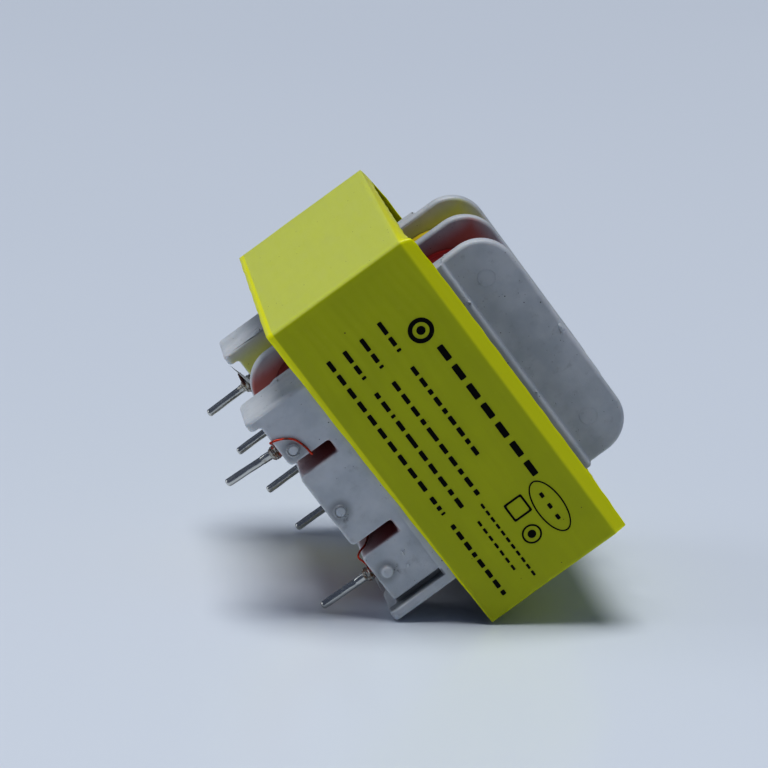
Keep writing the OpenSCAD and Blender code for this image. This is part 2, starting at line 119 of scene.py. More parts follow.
sun("overhead_softbox", UP - 0.10 * RIGHT, 1.95, 0.5, (0.97, 0.985, 1.0))
sun("left_window", UP - 2.2 * RIGHT, 0.40, 0.6, (0.95, 0.98, 1.0))

room = bpy.data.worlds.new("room")
bpy.context.scene.world = room
room.use_nodes = True
room.node_tree.nodes["Background"].inputs["Color"].default_value = (0.50, 0.60, 0.88, 1)
room.node_tree.nodes["Background"].inputs["Strength"].default_value = 0.16
bpy.context.scene.view_settings.view_transform = "Standard"
bpy.context.scene.view_settings.look = "Medium High Contrast"

# %% [markdown]
# Finishes are networks of nodes. Written node by node they are long, so a socket is wrapped in a
# small class: plus, minus, times and divide on it add Math nodes, and a pattern then reads like
# arithmetic. Every other node comes from one method of the finish.


# %% A socket that does arithmetic
class Signal:
    """One output socket of a finish. Arithmetic on it adds Math nodes."""

    def __init__(self, finish, socket):
        self.finish, self.socket = finish, socket

    def math(self, operation, other=0.0):
        return self.finish.node("ShaderNodeMath", {"operation": operation}, {0: self, 1: other})

    def __add__(self, other):
        return self.math("ADD", other)

    def __sub__(self, other):
        return self.math("SUBTRACT", other)

    def __rsub__(self, other):
        return self.finish.node("ShaderNodeMath", {"operation": "SUBTRACT"}, {0: other, 1: self})

    def __mul__(self, other):
        return self.math("MULTIPLY", other)

    def __pow__(self, other):
        return self.math("POWER", other)

    __radd__, __rmul__ = __add__, __mul__

    def ramp(self, low, high, start=0.0, end=1.0):
        """Goes from start to end as this value goes from low to high, and stays there outside."""
        limits = {"From Min": low, "From Max": high, "To Min": start, "To Max": end}
        settings = {"interpolation_type": "SMOOTHSTEP", "clamp": True}
        return self.finish.node("ShaderNodeMapRange", settings, {"Value": self, **limits})


# %% A finish
def paint(red, green, blue):
    """A colour of 0 to 255 as a screen shows it, made linear: each channel to the power 2.2."""
    return tuple(float(c) for c in (np.array([red, green, blue]) / 255) ** 2.2) + (1.0,)


class Finish:
    """A material built around one Principled shader, with places on the piece in millimetres."""

    def __init__(self, name, **shader_values):
        self.material = bpy.data.materials.new(name)
        self.material.use_nodes = True
        self.tree = self.material.node_tree
        self.shader = self.tree.nodes["Principled BSDF"]
        for socket, value in shader_values.items():
            self.set(socket.replace("_", " "), value)
        metres = self.node("ShaderNodeTexCoord", out="Object")
        scale = {"operation": "SCALE"}
        self.place = self.node("ShaderNodeVectorMath", scale, {0: metres, "Scale": 1000.0})
        parts = self.node("ShaderNodeSeparateXYZ", {}, {0: self.place}).socket.node.outputs
        self.x, self.y, self.z = (Signal(self, parts[i]) for i in range(3))

    def put(self, socket, value):
        if isinstance(value, Signal):
            self.tree.links.new(value.socket, socket)
        else:
            socket.default_value = value

    def node(self, kind, settings=None, inputs=None, out=0):
        """Adds a node of a type, with its settings first and then the values or links of its sockets."""
        made = self.tree.nodes.new(kind)
        for key, value in (settings or {}).items():
            setattr(made, key, value)
        for key, value in (inputs or {}).items():
            self.put(made.inputs[key], value)
        return Signal(self, made.outputs[out])

    def set(self, socket, value):
        self.put(self.shader.inputs[socket], value)

    def noise(self, scale, detail=2.0, rough=0.5, stretch=(1, 1, 1), shift=0.0):
        """Noise of so many waves a millimetre, pulled out along the axes whose stretch is small."""
        sizes = {"Scale": tuple(float(s) for s in stretch), "Location": (shift, shift, shift)}
        place = self.node("ShaderNodeMapping", {}, {"Vector": self.place, **sizes})
        values = {"Vector": place, "Scale": scale, "Detail": detail, "Roughness": rough}
        return self.node("ShaderNodeTexNoise", {}, values)

    def specks(self, scale, size, share, shift=0.0):
        """Small round spots: near the centre of a cell, in the given share of the cells."""
        sizes = {"Location": (shift, shift, shift)}
        place = self.node("ShaderNodeMapping", {}, {"Vector": self.place, **sizes})
        values = {"Vector": place, "Scale": scale}
        near = self.node("ShaderNodeTexVoronoi", {}, values, "Distance")
        cell = self.node("ShaderNodeTexVoronoi", {}, values, "Color")
        chosen = self.node("ShaderNodeSeparateColor", {}, {0: cell}).ramp(share * 0.9, share, 1, 0)
        return near.ramp(size * scale * 0.5, size * scale, 1, 0) * chosen

    def mix(self, mask, a, b):
        """Colour a where the mask is 0 and colour b where it is 1."""
        settings = {"data_type": "RGBA"}
        made = self.node("ShaderNodeMix", settings, {0: mask, 6: a, 7: b}).socket.node
        return Signal(self, made.outputs[2])

    def bump(self, height, depth):
        """Bends the light as if the surface rose by the height times a depth in millimetres."""
        values = {"Height": height, "Strength": 1.0, "Distance": depth * 0.001}
        self.set("Normal", self.node("ShaderNodeBump", {}, values))


# %% [markdown]
# Every new piece is a grid of points worked out with numpy and joined by four-sided faces. The
# grid may close on itself one way, as a band does, or both ways, as a ring does. Poles are closed
# by a single many-sided face.


# %% From a grid of points to a piece
def grid_faces(rows, columns, close_rows=False, close_columns=False):
    """Faces between neighbouring rows and columns, row by row; a closed way joins last to first."""
    r = np.arange(rows if close_rows else rows - 1)[:, None]
    c = np.arange(columns if close_columns else columns - 1)[None, :]
    r2, c2 = (r + 1) % rows, (c + 1) % columns
    corners = [r * columns + c, r * columns + c2, r2 * columns + c2, r2 * columns + c]
    return np.stack([np.broadcast_to(k, (r.size, c.size)) for k in corners], -1).reshape(-1, 4)


def piece(name, points, faces, finish, replaces=(), caps=(), smooth=True):
    """A mesh from points in millimetres, riding on the root, with its normals turned outwards."""
    mesh = bpy.data.meshes.new(name)
    listed = [list(map(int, f)) for f in faces] + [list(map(int, f)) for f in caps]
    mesh.from_pydata((np.asarray(points).reshape(-1, 3) * 0.001).tolist(), [], listed)
    made = bmesh.new()
    made.from_mesh(mesh)
    bmesh.ops.recalc_face_normals(made, faces=made.faces)
    made.to_mesh(mesh)
    made.free()
    mesh.shade_smooth() if smooth else mesh.shade_flat()
    thing = bpy.data.objects.new(name, mesh)
    bpy.context.scene.collection.objects.link(thing)
    mesh.materials.append(finish.material)
    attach(thing, "root")
    if replaces:
        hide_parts(*replaces)
    print(name, len(mesh.vertices), "points", len(mesh.polygons), "faces")
    return thing


def sharpen(thing, degrees):
    """Shade faces as one smooth surface, except across edges that turn by more than an angle."""
    thing.data.set_sharp_from_angle(angle=np.radians(degrees))


# %% [markdown]
# The yellow tape is polyester film, a few turns thick, wound tight round the core. The edges of
# the steel sheets below show through as faint lines along it. Where steel lies behind it the film
# is duller. Where it stands free it is painted brighter, a painted glow of light coming through it.
# So the colour depends on height: it changes at the fold. The left face is painted paler, a painted
# sheen. Scratches and dust give it scale.

# %% Yellow film
FOLD_Z = 26.22
film = Finish("yellow_film", IOR=1.48, Specular_IOR_Level=0.3, Subsurface_Weight=0.5,
              Subsurface_Radius=(1.0, 1.0, 0.05), Subsurface_Scale=0.0006)
stretched = film.noise(0.5, 3.0, 0.6, (0.22, 0.22, 2.0))
clouds = film.noise(0.16, 2.0, 0.5)
wavy_z = film.z + film.noise(0.12, 2.0, 0.5, shift=4.0) * 2.4
near_left = film.x.ramp(-17.2, -16.0) * film.x.ramp(-9, -3, 1, 0.15)
sheet_lines = (wavy_z * (2 * np.pi)).math("SINE") * near_left
free = film.z.ramp(FOLD_Z - 0.07, FOLD_Z + 0.28) + film.z.ramp(11.98, 12.14, 1, 0)
worn = film.noise(1.6, 4.0, 0.65, shift=7.0).ramp(0.60, 0.74)
backed = film.mix(stretched.ramp(0.35, 0.65, 0.2, 0.8), paint(184, 190, 0), paint(190, 197, 2))
backed = film.mix(clouds.ramp(0.35, 0.65, 0.0, 0.5), backed, paint(178, 186, 0))
# The left face, beyond x = -17.35, is painted paler: a painted sheen where the light falls on that face.
backed = film.mix(film.x.ramp(-17.50, -17.35, 1, 0), backed, paint(206, 214, 92))
# The free film, above the fold and below the core's lower edge, is painted brighter: a painted glow of
# light coming through it. The duller colour where steel lies behind is the film's own.
colour = film.mix(free, backed, paint(244, 243, 2))
colour = film.mix(worn * 0.12, colour, paint(206, 212, 70))
dust = film.specks(0.9, 0.07, 0.12) * 0.8 + film.specks(0.42, 0.11, 0.10, 9.0) * 0.8
film.set("Base Color", film.mix(dust, colour, paint(74, 70, 6)))
film.set("Roughness", stretched.ramp(0.3, 0.7, 0.30, 0.36) + worn * 0.15)
film.bump(sheet_lines * 0.4 + stretched * 0.3 + clouds * 2.0, 0.02)

# %% [markdown]
# The tape is modelled as one band: a closed path round the core, carried from the lower edge up
# the wall and over the fold to the free upper edge. At the fold the band leaves the wall and
# leans inwards, by a different amount on each side, because the worker pressed it down at the
# rear and left it standing at the front. A Solidify modifier gives the film its thickness.

# %% Sizes of the tape
HALF_W, HALF_L = TAPE_X - 0.03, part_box("core_tape")[1].y * 1000 - 0.03
CORNER_R = 0.42
WAVE_SHARE = 1.4


def wall_wave(x, y, z):
    """How far the film stands out from flat: two slow waves multiplied, plus a finer one."""
    slow = np.sin(0.55 * x + 0.8 * y + 0.4) * np.sin(0.42 * z + 0.3)
    fine = np.sin(1.7 * x - 1.3 * y) * np.sin(1.1 * z + 1.0)
    return 0.011 * slow + 0.005 * fine


def rounded_path(half_w, half_l, radius, straight, bend):
    """Closed path of a rectangle with round corners, from the front left corner, anticlockwise.

    Each corner is a quarter circle about its centre; the straights join one corner to the next.
    """
    centres = np.array([[-1, -1], [1, -1], [1, 1], [-1, 1]]) * [half_w - radius, half_l - radius]
    angles = np.radians(np.array([180, 270, 0, 90]))[:, None] + np.linspace(0, np.pi / 2, bend)
    arcs = centres[:, None] + radius * np.stack([np.cos(angles), np.sin(angles)], -1)
    ends = np.roll(arcs[:, 0], -1, 0)[:, None]
    share = (np.arange(1, straight) / straight)[None, :, None]
    sides = arcs[:, -1:] * (1 - share) + ends * share
    return np.concatenate([arcs, sides], 1).reshape(-1, 2)


# %% [markdown]
# Four tables say what the free edge does on each side: how far it runs inwards, how far it
# rises, and where the lower edge lies. Between the entries the values are joined smoothly.

# %% Tables round the band
path = rounded_path(HALF_W, HALF_L, CORNER_R, 110, 9)
X, Y = path[:, 0], path[:, 1]
LEFT_RUN = ([-15, -13.6, -11, 0, 15], [0.34, 0.85, 1.16, 1.3, 1.36])
RIGHT_RUN = ([-15, -13.5, -8, -3, 15], [0.02, 0.30, 0.85, 1.0, 1.05])
FRONT_RUN = ([-18, -16.8, -12, 14, 18], [0.32, 0.18, 0.12, 0.16, 0.10])
REAR_RUN = ([-18, -12, 18], [1.30, 1.25, 1.10])
side_s = np.cumsum(np.r_[0, np.hypot(*np.diff(np.vstack([path, path[:1]]), axis=0).T)])[:-1]
LENGTH = side_s[-1] + np.hypot(*(path[0] - path[-1]))
WIDE, DEEP = 2 * HALF_W, 2 * HALF_L
RISE_AT = np.array([0, 1.2, 6, WIDE - 6, WIDE - 1, WIDE, WIDE + 2, WIDE + 12, WIDE + DEEP,
                    WIDE + DEEP + 2, 2 * WIDE + DEEP - 2, 2 * WIDE + DEEP,
                    2 * WIDE + DEEP + 4, 2 * WIDE + 2 * DEEP - 5, 2 * WIDE + 2 * DEEP])
RISE = np.array([1.06, 1.28, 1.40, 1.42, 1.34, 1.27, 1.10, 0.98, 0.72,
                 0.55, 0.48, 0.30, 0.26, 0.72, 1.06])
LOW_AT = np.array([0, WIDE / 2, WIDE, WIDE + DEEP, 2 * WIDE + DEEP, 2 * WIDE + 2 * DEEP])
LOW = np.array([11.42, 11.66, 12.02, 11.83, 11.55, 11.42])
rise = np.interp(side_s * (2 * WIDE + 2 * DEEP) / LENGTH, RISE_AT, RISE)
low = np.interp(side_s * (2 * WIDE + 2 * DEEP) / LENGTH, LOW_AT, LOW)
low += 0.03 * np.sin(1.3 * side_s) * np.sin(0.37 * side_s)


# %% The band
def band_points(t_wall, t_lip):
    """Rows of the band. On the wall a point only climbs; on the lip the whole section shrinks.

    At share t of the lip each side moves in by its run times t to the power 1.2, and climbs by
    its rise times the sine-like curve 1 - (1 - t) squared, blended with t.
    """
    z_wall = low + (FOLD_Z - low) * t_wall[:, None]
    out = 1 + wall_wave(X, Y, z_wall) / np.hypot(HALF_W, HALF_L) * WAVE_SHARE
    wall = np.stack([X * out, Y * out, z_wall], -1)
    t = t_lip[:, None]
    bend = t**1.2
    left = -HALF_W + np.interp(Y, *LEFT_RUN) * bend
    right = HALF_W - np.interp(Y, *RIGHT_RUN) * bend
    front = -HALF_L + np.interp(X, *FRONT_RUN) * bend
    rear = HALF_L - np.interp(X, *REAR_RUN) * bend
    x = left + (right - left) * (X / HALF_W + 1) / 2
    y = front + (rear - front) * (Y / HALF_L + 1) / 2
    curl = 0.35 * (1 - (1 - t) ** 2) + 0.65 * t
    ripple = 0.03 * t * np.sin(2.1 * side_s) * np.sin(0.31 * side_s + 1)
    z = FOLD_Z + rise * curl + ripple
    return np.concatenate([wall, np.stack([x, y, z], -1)])


rows = band_points(np.linspace(0, 1, 30), np.linspace(0, 1, 12)[1:])
tape = piece("tape_band", rows, grid_faces(len(rows), len(X), close_columns=True),
             film, replaces=["core_tape"])
skin = tape.modifiers.new("film_thickness", "SOLIDIFY")
skin.thickness, skin.offset, skin.use_even_offset = 0.00014, -1, False

# %% [markdown]
# The front carries printing in black ink. Plain marks stand in for it: bars in rows, a ring with
# a dot, an oval, a square and a circle. Each is a thin patch that follows the film's own waves,
# so the ink lies on the tape and doesn't float over it.

# %% Black ink
ink = Finish("black_ink", IOR=1.5, Specular_IOR_Level=0.1)
faded = ink.noise(5.0, 3.0, 0.6).ramp(0.52, 0.75)
ink.set("Base Color", ink.mix(faded * 0.3, paint(4, 4, 2), paint(34, 36, 4)))
ink.set("Roughness", faded.ramp(0, 1, 0.42, 0.55))
INK_LIFT = 0.012


def on_front(x, z):
    """Points on the front of the film at x and z: the wall's own wave, plus the ink's lift."""
    y = -HALF_L * (1 + wall_wave(x, -HALF_L, z) / np.hypot(HALF_W, HALF_L) * WAVE_SHARE) - INK_LIFT
    return np.stack(np.broadcast_arrays(x, y, z), -1)


def bars(row):
    """Bars with rounded corners. Along each one the half height is h times the fifth root of
    1 - e to the fifth, where e is how far the point lies into the rounded end, as a share of it.
    """
    x0, x1, z, h = (np.array(v)[:, None] for v in zip(*row))
    share = np.concatenate([[0, 0.04, 0.15, 0.4], np.linspace(1, 9, 9), [9.6, 9.85, 9.96, 10]]) / 10
    x = x0 + (x1 - x0) * share
    into = np.clip(np.maximum(x0 + 0.12 - x, x - x1 + 0.12) / 0.12, 0, 1)
    half = h * (1 - into**5) ** 0.2 + 0.004
    across = np.array([-1, 0, 1])[None, None, :]
    points = on_front(x[:, :, None] + 0 * across, z[:, :, None] + half[:, :, None] * across)
    one = grid_faces(len(share), 3)
    faces = (one[None] + (np.arange(len(row)) * len(share) * 3)[:, None, None]).reshape(-1, 4)
    return points.reshape(-1, 3), faces


def ring(x, z, a, b, line, power=2.0, turn=0.0):
    """A line of even width round a super-ellipse: each of cosine and sine is raised to 2 / power,
    which makes a circle at 2 and a nearly square corner at 20.
    """
    angle = np.linspace(0, 2 * np.pi, 96, endpoint=False)
    c, s = np.cos(angle), np.sin(angle)
    shape = np.stack([np.sign(c) * np.abs(c) ** (2 / power), np.sign(s) * np.abs(s) ** (2 / power)])
    rim = [shape * np.array([[a - w], [b - w]]) for w in np.linspace(0, line, 3)]
    dx, dz = np.stack(rim, 1)
    turned_x = dx * np.cos(turn) - dz * np.sin(turn)
    turned_z = dx * np.sin(turn) + dz * np.cos(turn)
    points = on_front(x + turned_x, z + turned_z)
    return points.reshape(-1, 3), grid_faces(3, 96, close_columns=True)


# %% Rows of bars
def row_of_bars(start, end, z, height, lengths, gap):
    """Bars of the given lengths one after another, scaled so that the row ends where it should."""
    lengths = np.array(lengths, float)
    total = lengths.sum() + gap * (len(lengths) - 1)
    scale = (end - start) / total
    x0 = start + scale * np.r_[0, np.cumsum(lengths + gap)[:-1]]
    return [(a, a + n * scale, z, height / 2) for a, n in zip(x0, lengths)]


LONG, MID, SHORT, DOT = 1.45, 1.0, 0.55, 0.28
marks = row_of_bars(-7.4, 8.2, 23.6, 0.62, [LONG] * 7, 0.62)
for height, start, end, row in (
        (20.42, -12.6, -9.2, [LONG, MID, DOT]), (18.22, -12.3, -8.9, [LONG, MID, DOT]),
        (16.32, -12.3, -9.0, [LONG, MID, DOT]), (14.56, -12.4, 3.2, [MID] * 10),
        (20.42, -7.3, 3.3, [MID, MID, SHORT, MID, SHORT, MID, MID, SHORT, MID]),
        (18.22, -7.2, 6.5, [MID, MID, MID, SHORT, LONG, MID, MID, SHORT, MID, SHORT]),
        (16.32, -7.3, 6.6, [SHORT, MID, DOT, MID, LONG, MID, MID, MID, SHORT, MID]),
        (14.56, 4.0, 6.1, [MID, SHORT, DOT]),
        (14.56, 7.4, 16.0, [SHORT, MID, MID, SHORT, MID, MID, MID, SHORT])):
    marks += row_of_bars(start, end, height, 0.42, row, 0.42)
marks += row_of_bars(7.4, 16.2, 17.9, 0.24, [SHORT] * 11, 0.28)
marks += row_of_bars(8.6, 14.6, 16.7, 0.24, [SHORT] * 7, 0.30)
marks += row_of_bars(9.9, 13.1, 22.9, 0.34, [0.44] * 3, 0.62)
shapes = [bars(marks), ring(-9.62, 23.1, 1.22, 1.22, 0.42), ring(-9.62, 23.1, 0.42, 0.42, 0.41),
          ring(11.5, 22.9, 2.95, 1.32, 0.14), ring(9.82, 20.4, 1.0, 1.0, 0.2, 14),
          ring(12.7, 20.0, 0.95, 0.95, 0.17), ring(12.7, 20.0, 0.4, 0.4, 0.39)]
counts = np.cumsum([0] + [len(p) for p, f in shapes])[:-1]
printing = piece("front_marking", np.concatenate([p for p, f in shapes]),
                 np.concatenate([f + n for (p, f), n in zip(shapes, counts)]), ink,
                 smooth=False)
ink_body = printing.modifiers.new("ink_thickness", "SOLIDIFY")
ink_body.thickness, ink_body.offset = 0.000006, 1

# %% [markdown]
# The bobbin is moulded in one shot from white nylon. Its shape is right in the CAD, but moulded
# plastic has no knife-sharp edge. A copy of the CAD mesh is merged, its flat areas are joined
# into single faces, and a small bevel rounds what is left, more on the feet than on the flanges.

# %% White nylon
nylon = Finish("white_nylon", IOR=1.53, Subsurface_Weight=0.35, Subsurface_Radius=(1.0, 0.75, 0.55),
               Subsurface_Scale=0.0009)
soft = nylon.noise(0.35, 3.0, 0.55)
grain = nylon.noise(7.0, 3.0, 0.6)
smudge = nylon.noise(0.9, 4.0, 0.7, shift=3.0).ramp(0.54, 0.76)
plain = nylon.mix(soft.ramp(0.3, 0.7), paint(182, 187, 191), paint(200, 203, 206))
plain = nylon.mix(smudge * 0.35, plain, paint(146, 148, 150))

# %% [markdown]
# The colour of a place follows what happens there. Between the flanges a painted reflection of the
# film beside it tints the nylon, more the deeper it lies. The wire slots get a painted dark red
# shade, a ring round each little boss is darkened in patches, and the groove gets painted shade.
# Each is a mask made from x, y and z.

# %% Where the nylon is tinted
SLOT_1, SLOT_2 = -5.55, 4.3
FLANGE_TOP_Z, FLANGE_SIDE_X, BOSS_STEP, BOSS_Z = 33.8, 12.3, 7.5, 7.1
side_x, far_y = nylon.x.math("ABSOLUTE"), nylon.y.math("ABSOLUTE")
depth = (FLANGE_TOP_Z - nylon.z).math("MINIMUM", FLANGE_SIDE_X - side_x).ramp(0.1, 2.2)
# Painted reflection: between the flanges the nylon takes the colour of the film beside it, more the
# deeper it lies.
painted_red_reflection = nylon.y.ramp(-8.5, -8.3) * nylon.y.ramp(0.2, 0.4, 1, 0) * depth
painted_yellow_reflection = nylon.y.ramp(1.2, 1.4) * nylon.y.ramp(8.3, 8.5, 1, 0) * depth
plain = nylon.mix(painted_red_reflection * 0.9, plain, paint(190, 92, 76))
plain = nylon.mix(painted_yellow_reflection * 0.85, plain, paint(204, 208, 104))
row_x = nylon.x * nylon.y.math("SIGN") * -1
from_slot = (row_x - SLOT_1).math("ABSOLUTE").math("MINIMUM", (row_x - SLOT_2).math("ABSOLUTE"))
in_slot = from_slot.ramp(0.72, 0.82, 1, 0) * nylon.z.ramp(10.34, 10.5, 1, 0)
# Painted shade in the wire slots: dark red, stronger deeper in and towards the closed top of each slot.
slot_painted_shade = in_slot * far_y.ramp(13.6, 14.75, 1, 0.25) * nylon.z.ramp(6.0, 9.5, 0.45, 1)
plain = nylon.mix(slot_painted_shade * grain.ramp(0.2, 0.6, 0.7, 0.95), plain, paint(140, 56, 56))
from_boss = side_x.math("MINIMUM", (side_x - BOSS_STEP).math("ABSOLUTE"))
boss_z = nylon.z - BOSS_Z
ring_r = (from_boss * from_boss + boss_z * boss_z) ** 0.5
# A ring round each little boss on the bar's face is darkened in patches.
boss_ring_dark = ring_r.ramp(0.50, 0.60) * ring_r.ramp(0.70, 1.5, 1, 0) * far_y.ramp(14.0, 14.2)
# Painted shade down the narrow groove beside each bar's end rib, fading out above z = 11.3.
groove_painted_shade = row_x.ramp(10.2, 10.4) * row_x.ramp(10.95, 11.1, 1, 0) * far_y.ramp(13.2, 13.4)
plain = nylon.mix(boss_ring_dark * smudge.ramp(0.0, 0.6, 0.35, 0.9), plain, paint(70, 70, 70))
plain = nylon.mix(groove_painted_shade * nylon.z.ramp(11.2, 11.4, 0.75, 0), plain, paint(58, 60, 62))
dots = nylon.specks(1.15, 0.085, 0.36) + nylon.specks(2.3, 0.05, 0.30, 5.0) * 0.9
nylon.set("Base Color", nylon.mix(dots.ramp(0, 1, 0, 0.85), plain, paint(60, 62, 64)))
nylon.set("Roughness", grain.ramp(0.3, 0.7, 0.42, 0.52) + smudge * 0.12)
nylon.bump(grain * 0.5 + soft - dots, 0.03)


# %% The bobbin
def softened(node, name, finish, bands, degrees, reshape):
    """A copy of a CAD node with rounded edges. Doubles are merged, flat areas joined and the points
    moved by a rule. In each band of height, edges that turn by more than an angle are cut back by
    the band's width. A point left too far from the surface goes to the nearest place on it.
    """
    made = bmesh.new()
    made.from_mesh(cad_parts[node].data)
    bmesh.ops.remove_doubles(made, verts=made.verts, dist=1e-6)
    bmesh.ops.dissolve_limit(made, angle_limit=np.radians(0.4), verts=made.verts, edges=made.edges)
    for point, at in zip(made.verts, reshape(np.array([v.co for v in made.verts]))):
        point.co = at
    surface = BVHTree.FromBMesh(made)
    for low, high, width in bands:
        chosen = [e for e in made.edges if e.is_manifold and e.calc_face_angle() > np.radians(degrees)
                  and low <= (e.verts[0].co.z + e.verts[1].co.z) * 500 < high]
        bmesh.ops.bevel(made, geom=chosen, offset=width * 0.001, offset_type="OFFSET", segments=3,
                        profile=0.5, affect="EDGES", clamp_overlap=False, miter_outer="ARC")
    allowed = max(width for low, high, width in bands) * 0.0003 + 1e-5
    moved = 0
    for point in made.verts:
        place, normal, face, distance = surface.find_nearest(point.co)
        if distance > allowed:
            point.co, moved = place, moved + 1
    bmesh.ops.recalc_face_normals(made, faces=made.faces)
    mesh = bpy.data.meshes.new(name)
    made.to_mesh(mesh)
    made.free()
    mesh.shade_smooth()
    thing = bpy.data.objects.new(name, mesh)
    bpy.context.scene.collection.objects.link(thing)
    mesh.materials.append(finish.material)
    thing.modifiers.new("even_shading", "WEIGHTED_NORMAL")
    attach(thing, "root")
    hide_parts(node)
    print(name, len(mesh.polygons), "faces,", moved, "points moved back to the surface")
    return thing


def settle(at):
    """The flanges end a little lower towards the rear: above 27 mm the height shrinks by up to
    0.035 of what lies above, as y goes from the front flange to the rear one.
    """
    share = np.clip((at[:, 1] * 1000 + 8.3) / 17.0, 0, 1)
    over = np.clip(at[:, 2] - 0.027, 0, None)
    return np.column_stack([at[:, :2], at[:, 2] - 0.035 * share * over])


ROUNDED = [(-1, 10.7, 0.26), (10.7, 40, 0.18)]
softened("bobbin", "bobbin_moulding", nylon, ROUNDED, 35, settle)

# %% [markdown]
# A moulding has marks of how it was made: the stub where the plastic came in, rings left by the
# pins that push it out of the mould, and a few crumbs of flash. They are small, but at this
# distance they are what tells nylon from a smooth drawing. Each is a dome or a ring whose radius
# is made uneven by a couple of waves.


# %% Marks of the mould
def crumb(x, y, z, size, seed, rows=10, columns=16):
    """A lump: a ball whose radius is multiplied by 1 plus two waves, stretched by size on each axis."""
    up = np.linspace(0.02, np.pi - 0.02, rows)[:, None]
    round_ = np.linspace(0, 2 * np.pi, columns, endpoint=False)[None, :]
    r = 1 + 0.28 * np.sin(3 * round_ + seed) * np.sin(2 * up + seed)
    r = r + 0.2 * np.cos(2 * round_ - 2 * seed + up)
    ball = np.stack([r * np.sin(up) * np.cos(round_), r * np.sin(up) * np.sin(round_),
                     r * np.cos(up) + 0 * round_], -1)
    points = ball * np.array(size) + np.array([x, y, z])
    return points.reshape(-1, 3), grid_faces(rows, columns, close_columns=True), \
        [np.arange(columns), np.arange(columns) + (rows - 1) * columns]


def pushed_ring(x, y, z, radius, line):
    """A raised line round an ejector's place: a small circle carried round a large one."""
    big = np.linspace(0, 2 * np.pi, 48, endpoint=False)[:, None]
    small = np.linspace(0, 2 * np.pi, 8, endpoint=False)[None, :]
    r = radius + line * np.cos(small)
    points = np.stack([x + r * np.cos(big), y + line * np.sin(small) + 0 * big, z + r * np.sin(big)], -1)
    return points.reshape(-1, 3), grid_faces(48, 8, True, True), []


def gathered(name, parts, finish):
    """Several small closed shapes in one piece."""
    starts = np.cumsum([0] + [len(p) for p, f, c in parts])[:-1]
    faces = np.concatenate([f + n for (p, f, c), n in zip(parts, starts)])
    caps = [c + n for (p, f, cs), n in zip(parts, starts) for c in cs]
    return piece(name, np.concatenate([p for p, f, c in parts]), faces, finish, caps=caps)


FLANGE_FACE_Y, LEDGE_FACE_Y = -9.6, -10.5
gathered("mould_marks", [
    crumb(-0.2, FLANGE_FACE_Y - 0.02, 33.42, (0.42, 0.16, 0.22), 0.3),
    crumb(0.25, FLANGE_FACE_Y - 0.08, 33.30, (0.16, 0.10, 0.20), 2.0),
    crumb(-12.1, -9.0, 28.55, (0.20, 0.30, 0.14), 1.1),
    crumb(-12.2, -8.6, 28.75, (0.10, 0.16, 0.22), 4.0),
    crumb(-7.7, LEDGE_FACE_Y + 0.03, 28.02, (0.26, 0.10, 0.16), 2.6),
    crumb(3.2, LEDGE_FACE_Y + 0.04, 28.05, (0.14, 0.08, 0.09), 5.1),
    crumb(6.9, -14.64, 9.3, (0.20, 0.06, 0.10), 3.7), crumb(8.2, -14.60, 9.0, (0.12, 0.05, 0.16), 0.9),
    crumb(11.2, -14.3, 5.55, (0.20, 0.24, 0.16), 4.4),
    pushed_ring(8.4, FLANGE_FACE_Y, 30.6, 0.85, 0.03),
    pushed_ring(-8.4, FLANGE_FACE_Y, 30.6, 0.85, 0.03),
], nylon)

# %% [markdown]
# The core is a stack of thin steel sheets, dipped in varnish. The CAD sheets are exactly right,
# so they stay as they are, and only get their finish: grey blue steel in streaks, with brown
# varnish pooled here and there.

# %% Varnished steel
steel = Finish("varnished_steel", Metallic=0.75)
pooled = steel.noise(0.5, 4.0, 0.6).ramp(0.48, 0.62)
streaks = steel.noise(1.2, 3.0, 0.6, (0.3, 0.3, 6.0))
bare = steel.mix(streaks.ramp(0.3, 0.7), paint(86, 90, 100), paint(122, 126, 134))
steel.set("Base Color", steel.mix(pooled * 0.7, bare, paint(58, 44, 34)))
steel.set("Roughness", pooled.ramp(0, 1, 0.42, 0.24))
steel.bump(streaks + pooled * 0.5, 0.02)
for node in ("front_yoke_e_sheets", "rear_yoke_e_sheets", "front_i_sheets", "rear_i_sheets"):
    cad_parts[node].data.materials[0] = steel.material

# %% [markdown]
# Under the flanges lie the two windings. Their copper is hidden below a coloured film, so the
# CAD solids of the coils only get a finish, while each film is built as its own skin: a rounded
# path round the coil, carried across the chamber, a little fuller in the middle.

# %% Copper and coloured films
copper = Finish("enamelled_copper", Metallic=0.9, Roughness=0.32)
strands = (copper.y * (2 * np.pi / 0.24)).math("SINE")
copper.set("Base Color", copper.mix(strands.ramp(-0.4, 1), paint(104, 40, 20), paint(196, 104, 56)))
copper.bump(strands, 0.05)
for node in ("primary_coil", "secondary_coil"):
    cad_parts[node].data.materials[0] = copper.material


def coloured_film(name, dark, light, line):
    """A wound film of a colour: streaks along the winding, and faint lines at the tape's edges."""
    made = Finish(name, IOR=1.5)
    streak = made.noise(0.6, 3.0, 0.55, (0.5, 3.0, 0.5))
    edges = (made.y * (2 * np.pi / line)).math("SINE").ramp(0.8, 1.0)
    made.set("Base Color", made.mix(streak.ramp(0.3, 0.7) * 0.8 + edges * 0.2, dark, light))
    made.set("Roughness", streak.ramp(0.3, 0.7, 0.28, 0.42))
    made.bump(streak + edges * 0.4, 0.05)
    return made


maroon_film = coloured_film("maroon_film", paint(92, 12, 14), paint(128, 24, 22), 2.1)
amber_film = coloured_film("amber_film", paint(196, 168, 20), paint(222, 200, 52), 1.9)


